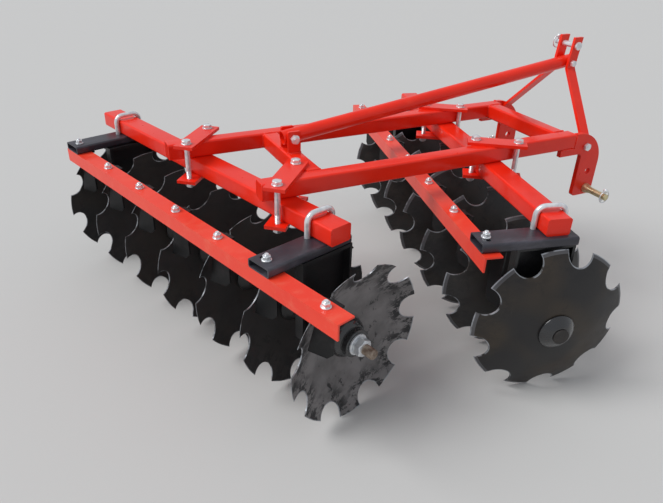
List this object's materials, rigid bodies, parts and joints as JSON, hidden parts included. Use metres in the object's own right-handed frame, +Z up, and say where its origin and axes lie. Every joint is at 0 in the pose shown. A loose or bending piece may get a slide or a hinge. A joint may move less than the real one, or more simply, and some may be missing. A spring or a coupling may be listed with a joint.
{
  "type": "mounted offset disc harrow",
  "caption": "Light mounted offset disc harrow: box-tube frame with mast and hitch plates over two angled gangs of notched dished discs that turn on their axles.",
  "frame": {"origin": "on the floor, under the middle of the harrow's bounding box", "axes": "+X is the machine's right, +Y the way it travels, +Z up"},
  "size_m": [1.4936, 1.6938, 0.866],
  "materials": {
    "frame_red": "glossy orange-red paint",
    "bar_red": "paler satin red paint",
    "arm_paint": "dark grey satin paint",
    "disc_black": "thin black paint, scuffed, bright edge",
    "cast_black": "black paint on cast iron",
    "scraper_steel": "black paint on pressed steel",
    "axle_steel": "steel bar with zinc nut",
    "zinc": "bright zinc plate",
    "yellow_zinc": "yellow zinc plate"
  },
  "bodies": {
    "frame": {"main_tube_right": "frame_red", "hitch_plate_right": "frame_red", "mast_strap_right": "frame_red", "lower_link_pin_right": "yellow_zinc", "main_tube_left": "frame_red", "hitch_plate_left": "frame_red", "mast_strap_left": "frame_red", "lower_link_pin_left": "yellow_zinc", "front_crossmember": "frame_red", "rear_crossmember": "frame_red", "stay_tube": "frame_red", "stay_lug": "frame_red", "stay_bolts": "zinc", "strap_foot_bolts": "zinc", "top_link_pin": "zinc", "rear_gang_beam": "frame_red", "rear_clamp_plates": "frame_red", "rear_clamp_bolts": "zinc", "rear_scraper_bar": "bar_red", "rear_bar_bolts": "zinc", "rear_scrapers": "scraper_steel", "rear_arm_right": "arm_paint", "rear_arm_left": "arm_paint", "rear_u_bolts": "zinc", "rear_hangers": "cast_black", "rear_bearing_housings": "cast_black", "front_gang_beam": "frame_red", "front_clamp_plates": "frame_red", "front_clamp_bolts": "zinc", "front_scraper_bar": "bar_red", "front_bar_bolts": "zinc", "front_scrapers": "scraper_steel", "front_arm_right": "arm_paint", "front_arm_left": "arm_paint", "front_u_bolts": "zinc", "front_hangers": "cast_black", "front_bearing_housings": "cast_black"},
    "front_gang": {"front_disc_1": "disc_black", "front_disc_2": "disc_black", "front_disc_3": "disc_black", "front_disc_4": "disc_black", "front_disc_5": "disc_black", "front_disc_6": "disc_black", "front_disc_7": "disc_black", "front_spools": "cast_black", "front_end_bell": "cast_black", "front_end_cap": "cast_black", "front_axle": "axle_steel"},
    "rear_gang": {"rear_disc_1": "disc_black", "rear_disc_2": "disc_black", "rear_disc_3": "disc_black", "rear_disc_4": "disc_black", "rear_disc_5": "disc_black", "rear_disc_6": "disc_black", "rear_disc_7": "disc_black", "rear_spools": "cast_black", "rear_end_bell": "cast_black", "rear_end_cap": "cast_black", "rear_axle": "axle_steel"}
  },
  "joints": [
    {"name": "front_gang_spin", "type": "hinge", "parent": "frame", "child": "front_gang", "pos_m": [0.03695, 0.44006, 0.23], "axis": [0.9726, -0.2326, 0], "continuous": true},
    {"name": "rear_gang_spin", "type": "hinge", "parent": "frame", "child": "rear_gang", "pos_m": [0.03622, -0.40904, 0.23], "axis": [0.9542, 0.299, 0], "continuous": true}
  ]
}
